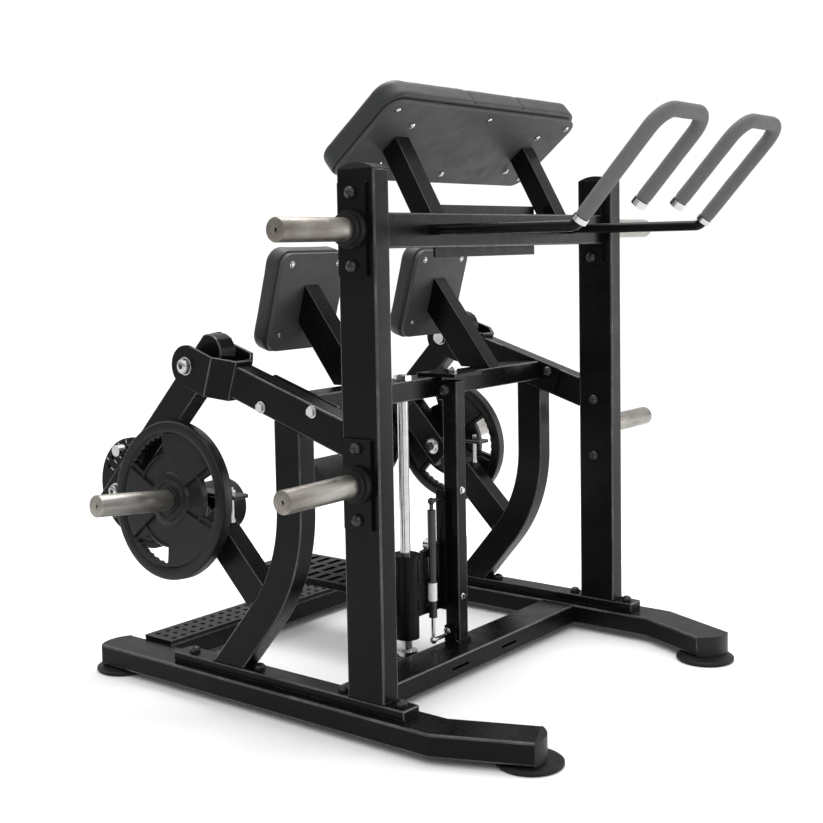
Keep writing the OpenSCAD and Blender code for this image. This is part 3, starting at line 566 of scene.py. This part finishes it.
def grip(side_name, side):
    """A foam sleeve round the handle's loop."""
    slope = math.radians(48.4)
    outer, inner = 287, 90        # the loop's two long runs, out from the middle of the machine
    low, back_low, length, bend, r = 24.6, 71.6, 295.0, 50.0, 15.9

    def loop_point(x, s):
        """s is measured up the loop's slope from the bar it stands on."""
        return at(side * x, -384 - s * math.cos(slope), 1089 + s * math.sin(slope))

    path = [(outer, low + (length - bend - low) * i / 40) for i in range(40)]
    path += [(outer - bend * (1 - math.cos(u)), length - bend + bend * math.sin(u))
             for u in (math.pi / 2 * i / 14 for i in range(14))]
    path += [(outer - bend - (outer - inner - 2 * bend) * i / 18, length) for i in range(18)]
    path += [(inner + bend - bend * math.sin(u), length - bend + bend * math.cos(u))
             for u in (math.pi / 2 * i / 14 for i in range(14))]
    path += [(inner, length - bend - (length - bend - back_low) * i / 36) for i in range(37)]
    pts = [loop_point(*p) for p in path]
    n = len(pts) - 1

    def radius(share, turn):
        end = min(share, 1 - share) * n
        lip = 1 - 0.10 * max(0, 1 - end / 1.4)
        dent = noise.noise(Vector((share * 17, math.cos(turn), math.sin(turn) + side * 5)))
        return (r * lip + 0.35 * dent) * MM

    obj = add_object(f"grip_foam_{side_name}", sweep("grip", pts, radius), "frame", "grip_foam")
    return obj


def roller(side_name, side):
    """A foam sleeve with a stepped plastic cap at each end."""
    node = side_name + "_leg_roller"
    co = node_points(node)
    low, high = co.min(0), co.max(0)
    y, z = (low[1] + high[1]) / 2, (low[2] + high[2]) / 2
    r, length = (high[1] - low[1]) / 2, high[0] - low[0]
    body = body_of[node]
    foam_r = r - 0.5 * MM
    mouth, sunk = 51 * MM, 3 * MM         # where the foam dips in behind each cap
    rims = fillet(foam_r, 0, length, 9 * MM, 5)
    profile = [(mouth, sunk)] + rims[:6]
    profile += [(foam_r, length * i / 30) for i in range(2, 29)]
    profile += rims[6:] + [(mouth, length - sunk)]
    bm = lathe(profile)
    for v in bm.verts:
        q = Vector((v.co.x, v.co.y, 0))
        if q.length > 60 * MM:
            dent = noise.noise(Vector((v.co.x * 40, v.co.y * 40, v.co.z * 30 + side)))
            v.co += q.normalized() * dent * 0.5 * MM
    bm.transform(along((low[0], y, z), (1, 0, 0)))
    foam = add_object(f"roller_foam_{side_name}", finish_mesh("foam", bm, 50), body, "grip_foam",
                      "roller_foam")
    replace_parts(foam, node)
    steps = [(13.2, 1.0), (20, 1.0), (21, 3.4), (26, 3.4), (27, 1.4), (33, 1.4), (34, 3.2), (39, 3.2),
             (40, 1.4), (45, 1.4), (46, 3.0), (49.5, 2.6), (51.5, 4.2), (51.5, 14), (13.2, 14)]
    for k, (x, d) in enumerate(((low[0], 1), (high[0], -1))):
        bm = lathe([(p * MM, q * MM) for p, q in steps])
        bm.transform(along((x, y, z), (d, 0, 0)))
        add_object(f"roller_cap_{side_name}_{k}", finish_mesh("cap", bm, 30), body, "cap_plastic")


# ---- weight plates ----
WINDOWS = (22, 142, 262)      # the angles of the grip windows' middles
WINDOW_HALF = 22              # and half the angle each one spans
WINDOW_FROM, WINDOW_TO = 112, 152


def plate_height(r, off):
    """A plate face's height above its middle plane in mm; off is the angle from a window's middle."""
    hub = [(25.1, 15.2), (26.6, 16.4), (33, 16.4), (34.2, 13.8), (40, 13.8), (41.2, 15.8), (48, 15.8),
           (50, 12.4), (57, 11.6), (60, 10.6)]
    rim = [(157, 11.0), (159.5, 15.6), (162, 16.6), (166, 17.0), (178, 17.0), (182, 16.2),
           (184.6, 14.2), (186, 10.5)]
    if r <= 60:
        return float(np.interp(r, *zip(*hub)))
    if r >= 157:
        return float(np.interp(r, *zip(*rim)))
    # a recessed web at the windows, a raised spoke between them, and a short slope from one to the other
    low = float(np.interp(r, (60, 64, 103, 105.5, 109.5, 112, 132, 152, 154),
                          (10.6, 5.2, 5.2, 9.4, 9.4, 6.4, 6, 6, 9)))
    high = float(np.interp(r, (60, 63.5, 66, 151, 154.5, 157), (10.6, 11.2, 13.4, 13.4, 12.6, 11.0)))
    u = min(1.0, max(0.0, (abs(off) - 26.2) / 1.6))
    return low + (high - low) * u * u * (3 - 2 * u)


def plate_frame(side_name):
    """A plate's middle and its own axes: down, rearward, and outward along its horn."""
    joint = next(j for j in frame["joints"] if j["name"] == side_name + "_plate_slide")
    ez = Vector(joint["axis"]).normalized()
    ex = (Vector((0, 0, -1)) + ez * ez.z).normalized()
    ey = Vector((0, 1, 0))
    co = node_points(side_name + "_weight_plate")
    centre = Vector((0, 0, 0))
    for e in (ex, ey, ez):
        p = co @ np.array(e)
        centre += e * float(p.min() + p.max()) / 2
    return centre, ex, ey, ez


def weight_plate(side_name):
    """A plate built as rings of quads on both faces, joined through the bore, rim and grip windows."""
    centre, ex, ey, ez = plate_frame(side_name)
    radii = [25.1, 26.6, 33, 34.2, 40, 41.2, 48, 50, 57, 60, 63.5, 66, 80, 92, 103, 105.5, 109.5,
             112, 122, 132, 142, 152, 154.5, 157, 159.5, 162, 166, 172, 178, 182, 184.6, 186]
    offsets = sorted(set([-60 + 2.5 * i for i in range(13)] + [-27.8, -27.4, -27, -26.6, -26.2, -25, -23.5]
                         + [-22 + i for i in range(45)] + [23.5, 25, 26.2, 26.6, 27, 27.4, 27.8]
                         + [30 + 2.5 * i for i in range(12)]))
    angles = [(w + o, o) for w in WINDOWS for o in offsets]
    inner, outer = radii.index(WINDOW_FROM), radii.index(WINDOW_TO)
    bm = bmesh.new()
    faces = {}
    for front in (1, -1):
        grid = []
        for a, off in angles:
            row = []
            for k, r in enumerate(radii):
                q = r
                if k == outer and abs(off) <= WINDOW_HALF:     # finger scallops along the outer edge
                    q = r + 1.6 * math.cos(math.radians(off * 360 / 7.3)) - 0.6
                z = plate_height(r, off) * front
                t = math.radians(a)
                spot = ex * math.cos(t) * q + ey * math.sin(t) * q + ez * z
                row.append(bm.verts.new(centre + spot * MM))
            grid.append(row)
        faces[front] = grid
    n, m = len(angles), len(radii)

    def hole(i, k):
        a, b = angles[i % n][1], angles[(i + 1) % n][1]
        return inner <= k < outer and abs(a) <= WINDOW_HALF and abs(b) <= WINDOW_HALF and b > a

    def quad(*v):
        bm.faces.new(v)

    for i in range(n):
        j = (i + 1) % n
        for k in range(m - 1):
            if hole(i, k):
                if k == inner:
                    quad(faces[1][i][k], faces[1][j][k], faces[-1][j][k], faces[-1][i][k])
                if k == outer - 1:
                    quad(faces[1][i][k + 1], faces[1][j][k + 1], faces[-1][j][k + 1], faces[-1][i][k + 1])
                if not hole(i - 1, k):
                    quad(faces[1][i][k], faces[1][i][k + 1], faces[-1][i][k + 1], faces[-1][i][k])
                if not hole(i + 1, k):
                    quad(faces[1][j][k], faces[1][j][k + 1], faces[-1][j][k + 1], faces[-1][j][k])
                continue
            for g in (faces[1], faces[-1]):
                quad(g[i][k], g[j][k], g[j][k + 1], g[i][k + 1])
        for k in (0, m - 1):
            quad(faces[1][i][k], faces[1][j][k], faces[-1][j][k], faces[-1][i][k])
    node = side_name + "_weight_plate"
    obj = add_object("plate_" + side_name, finish_mesh("plate", bm, 33), body_of[node], "plate_rubber")
    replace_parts(obj, node)
    weighted(obj)
    # a plain ring round the bore
    bm = lathe([(25.12 * MM, 16.0 * MM), (25.8 * MM, 16.9 * MM), (31.5 * MM, 16.9 * MM),
                (32.2 * MM, 16.0 * MM)])
    bm.transform(along(centre, ez))
    add_object(f"plate_ring_{side_name}", finish_mesh("ring", bm, 50), body_of[node], "plate_rubber",
               "cap_plastic")


# ---- small fittings ----
def turned(name, point, axis, profile, body, slot, material=None, steps=48, angle=30):
    """A lathed fitting that stands at a point along an axis; its profile is in millimetres."""
    bm = lathe([(r * MM, z * MM) for r, z in profile], steps)
    bm.transform(along(point, axis))
    return add_object(name, finish_mesh(name, bm, angle), body, slot, material)


def button_head(name, point, axis, r, height, body):
    """A domed socket-head screw with its hexagonal recess."""
    profile = [(0, height * 0.45), (r * 0.40, height * 0.45), (r * 0.42, height * 0.98)]
    profile += [(r * math.cos(u), height * 0.28 + height * 0.70 * math.sin(u))
                for u in (math.pi / 2 * (1 - i / 7) * 0.72 for i in range(8))]
    profile += [(r, 0)]
    turned(name, point, axis, profile, body, "chrome")


def socket(name, point, axis, r, body):
    """The shadowed floor of a hexagonal recess."""
    turned(name, point, axis, [(0, 0), (r * 0.6, 0.1), (r, 0.5)], body, "chrome", "socket", steps=6)


def bead(name, points, r, body):
    """A weld bead: overlapping ripples along a line."""
    bm = bmesh.new()
    for p, q in zip(points, points[1:]):
        d = q - p
        n = max(2, round(d.length / (4.5 * MM)))
        for i in range(n):
            bmesh.ops.create_icosphere(bm, subdivisions=1, radius=r * MM,
                                       matrix=Matrix.Translation(p + d * (i + 0.5) / n))
    add_object(name, finish_mesh(name, bm, 60), body, "frame_paint")


def weld_feet(node):
    """Beads round the foot of each tube of a node, where it stands on the bar below."""
    co = node_points(node)
    low = co[co[:, 2] < co[:, 2].min() + 0.5 * MM]
    for side in (-1, 1):
        part = low[low[:, 0] * side > 0]
        if not len(part):
            continue
        (x0, y0, z), (x1, y1, _) = part.min(0), part.max(0)
        z += 1 * MM
        ring = [Vector(c) for c in ((x0, y0, z), (x1, y0, z), (x1, y1, z), (x0, y1, z), (x0, y0, z))]
        bead(f"weld_{node}_{'left' if side > 0 else 'right'}", ring, 2.2, body_of[node])


def disc_marks(side_name, side):
    """White scale lines on a disc's outer face: at the index holes, and between them further out."""
    face, pitch = 466.15, 7.5
    first = math.atan2(PIN[1] - DISC[1], PIN[0] - DISC[0])
    out = Vector((side, 0, 0))
    bm = bmesh.new()
    for i in range(-10, 11):
        a = first + math.radians(pitch * i)
        length, r = (9, 117) if i % 2 else (12, 90)
        c = at(side * face, DISC[0] + r * math.cos(a), DISC[1] + r * math.sin(a))
        radial = Vector((0, math.cos(a), math.sin(a)))
        turn = Matrix((out.cross(radial), radial, out)).transposed().to_4x4()
        bmesh.ops.create_cube(bm, size=1, matrix=Matrix.Translation(c) @ turn
                              @ Matrix.Diagonal((1.8 * MM, length * MM, 0.3 * MM, 1)))
    add_object("disc_marks_" + side_name, finish_mesh("marks", bm), body_of[side_name + "_index_disc"],
               "frame_paint", "ink")


def horn_profile(parts, tip):
    """A turned bar with a chamfered tip and the lathe's centre hole."""
    out = [(0, parts[0][1])]
    for r, z0, z1 in parts:
        out += [(r, z0), (r, z1)]
    r = parts[-1][0]
    return out[:-1] + [(r, tip - 2.6), (r - 0.7, tip - 1.0), (r - 2.6, tip), (8.5, tip), (7.6, tip - 0.9),
                       (5.2, tip - 0.9), (3.6, tip - 3.4), (3.4, tip - 9), (0, tip - 10)]


def horns(side_name, side):
    """One side's two storage horns and its load horn, with the washer behind it."""
    for k, z in enumerate((1091, 557)):
        obj = turned(f"storage_horn_{side_name}_{k}", at(0, 5, z), (side, 0, 0),
                     horn_profile([(24, 521, 552.2), (25, 552.2, 758)], 758), "frame", "horn_steel", steps=96)
        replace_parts(obj, "storage_horns")
    root, axis = horn_line(side)
    node = side_name + "_load_horn"
    body = body_of[node]
    obj = turned(f"load_horn_{side_name}", root, axis,
                 horn_profile([(24, -30, 29), (36, 29, 45.6), (24, 45.6, 81), (25, 81, 289)], 289),
                 body, "horn_steel", steps=96)
    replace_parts(obj, node)
    turned(f"horn_washer_{side_name}", root - axis * 30 * MM, -axis,
           [(5, 0.6), (5.4, 1.4), (17.5, 1.4), (18.5, 1.0), (23.6, 1.0), (23.9, 0)],
           body, "chrome", steps=64)


# ---- put together ----
# how far each node's edges are rounded, in millimetres
SOFTEN = {"right_rail": 5, "left_rail": 5, "base_bars": 3, "cross_members": 4, "rear_tread_plate": 1.5,
          "right_post": 4, "left_post": 4, "curved_supports": 3, "stop_braces": 2.5, "pivot_beams": 3.5,
          "pivot_yokes": 2, "upper_crossbar": 3.5, "crossbar_back_plate": 1.5, "mid_crossbar": 3,
          "chest_pad_arms": 1.5, "thigh_pad_arms": 1.5, "storage_plates": 1.2, "guide_upright": 2.5,
          "carriage_frame": 1.5, "platform_arm": 2, "right_lever": 3.5, "left_lever": 3.5,
          "right_weight_arm": 3, "left_weight_arm": 3, "chest_pad_board": 1.5, "thigh_pad_boards": 1.5}
for node, width in SOFTEN.items():
    softened(node, width * MM)

cushion("chest_pad_cushion", "chest_pad_board", 48 * MM, seams=(-0.083, 0.123))
for side_name, side in SIDES:
    cushion(side_name + "_thigh_cushion", "thigh_pad_boards", 40 * MM)
    roller(side_name, side)
    weight_plate(side_name)
    disc_marks(side_name, side)
    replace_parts(grip(side_name, side), "handle_grips")

bolt_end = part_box("pivot_bolts")[1].x / MM
disc_end = 534.0                         # where the head of the disc's bolt stands
for side_name, side in SIDES:
    horns(side_name, side)
    body = body_of[side_name + "_lever"]
    axis = Vector((side, 0, 0))
    button_head(f"disc_head_{side_name}", at(side * disc_end, *DISC), axis, 14.5, 4.5, body)
    button_head(f"pivot_head_{side_name}", at(side * (bolt_end - 1), *PIVOT), axis, 14.5, 6, "frame")
    socket(f"pivot_socket_{side_name}", at(side * (bolt_end + 1.8), *PIVOT), axis, 5.8, "frame")
    socket(f"disc_socket_{side_name}", at(side * (disc_end + 2.1), *DISC), axis, 5.6, body)
    root, tilt = horn_line(side)
    socket(f"horn_socket_{side_name}", root - tilt * 30.4 * MM, -tilt, 6, body)

# fastenings of the platform's upright: dome, clevis bolt and nut on the bracket
turned("upright_dome", at(-15, 146, 699), (-1, 0, 0),
       [(14, 0), (14.5, 1.5), (13.8, 5), (11.5, 9.6), (7.5, 13), (3, 14.4), (0, 14.6)],
       "frame", "black_rubber", "dome_plastic")
button_head("upright_clevis_bolt", at(-23, 145, 94), (-1, 0, 0), 10, 6, "frame")
socket("upright_clevis_socket", at(-25.8, 145, 94), (-1, 0, 0), 4, "frame")
turned("bracket_nut", at(38, 160, 739), (0, 0, 1),
       [(9.5, 0), (10.2, 0.8), (10.2, 8.4), (9.2, 9.4), (5.4, 9.4), (5.0, 14), (3.6, 15), (0, 15)],
       "frame", "chrome", steps=6, angle=20)
# blank pale band round the strut
turned("strut_band", at(-72, 152, 0), (0, 0, 1), [(10.6, 182), (10.9, 182.4), (10.9, 226.6), (10.6, 227)],
       "foot_platform", "strut_paint", "ink", steps=40)

for node in ("right_post", "left_post", "curved_supports"):
    weld_feet(node)

# the CAD nodes that no piece stands for
for name, obj in nodes.items():
    material = MATS["dome_plastic" if name == "dome_bolts" else slot_of[name]]
    for s in obj.material_slots:
        s.material = material

# ---- studio ----
cam_data = bpy.data.cameras.new("camera")
cam_data.lens, cam_data.sensor_width = 56.59, 36
cam_data.shift_x, cam_data.shift_y = 0.0438, -0.0754
camera = bpy.data.objects.new("camera", cam_data)
right = Vector((0.62954, -0.77670, -0.02021))
down = Vector((-0.07413, -0.03415, -0.99666))
ahead = Vector((0.77342, 0.62894, -0.07907))
camera.matrix_world = (Matrix.Translation(Vector((-2.58292, -1.72357 + POST_Y, 1.05418)))
                       @ Matrix((right, -down, -ahead)).transposed().to_4x4())
bpy.context.scene.collection.objects.link(camera)
bpy.context.scene.camera = camera

floor_mesh = bpy.data.meshes.new("floor")
floor_mesh.from_pydata([(-40, -40, 0), (40, -40, 0), (40, 40, 0), (-40, 40, 0)], [], [(0, 1, 2, 3)])
floor = bpy.data.objects.new("floor", floor_mesh)
floor.location.z = -0.0005
floor_mesh.materials.append(MATS["floor"])
bpy.context.scene.collection.objects.link(floor)

world = bpy.data.worlds.new("studio")
bpy.context.scene.world = world
world.use_nodes = True
# a soft sky lights the object; the camera itself sees plain white
tree = world.node_tree
back = tree.nodes["Background"]
direction = tree.nodes.new("ShaderNodeTexCoord")
split = tree.nodes.new("ShaderNodeSeparateXYZ")
sky = tree.nodes.new("ShaderNodeMapRange")
sky.inputs["From Min"].default_value, sky.inputs["From Max"].default_value = 0.05, 0.75
sky.inputs["To Min"].default_value, sky.inputs["To Max"].default_value = 0.30, 1.65
seen = tree.nodes.new("ShaderNodeLightPath")
pick = tree.nodes.new("ShaderNodeMix")
pick.inputs["B"].default_value = 1.05
tree.links.new(direction.outputs["Generated"], split.inputs[0])
tree.links.new(split.outputs["Z"], sky.inputs["Value"])
tree.links.new(sky.outputs["Result"], pick.inputs["A"])
tree.links.new(seen.outputs["Is Camera Ray"], pick.inputs["Factor"])
tree.links.new(pick.outputs["Result"], back.inputs["Strength"])
back.inputs["Color"].default_value = (1, 1, 1, 1)
bpy.context.scene.view_settings.view_transform = "Standard"
for name, size, watts, spot in (("overhead", 1.5, 62, (0.5, 0.3, 3.4)),
                                ("front", 1.3, 18, (-2.6, -3.4, 2.9)),
                                ("side_panel", 2.6, 70, (4.0, -3.3, 1.3))):
    lamp = bpy.data.lights.new(name, "AREA")
    lamp.size, lamp.energy = size, watts
    obj = bpy.data.objects.new(name, lamp)
    obj.visible_camera = False
    obj.location = spot
    obj.rotation_euler = (Vector((0, 0, 0.6)) - Vector(spot)).to_track_quat("-Z", "Y").to_euler()
    bpy.context.scene.collection.objects.link(obj)

bpy.context.view_layer.update()
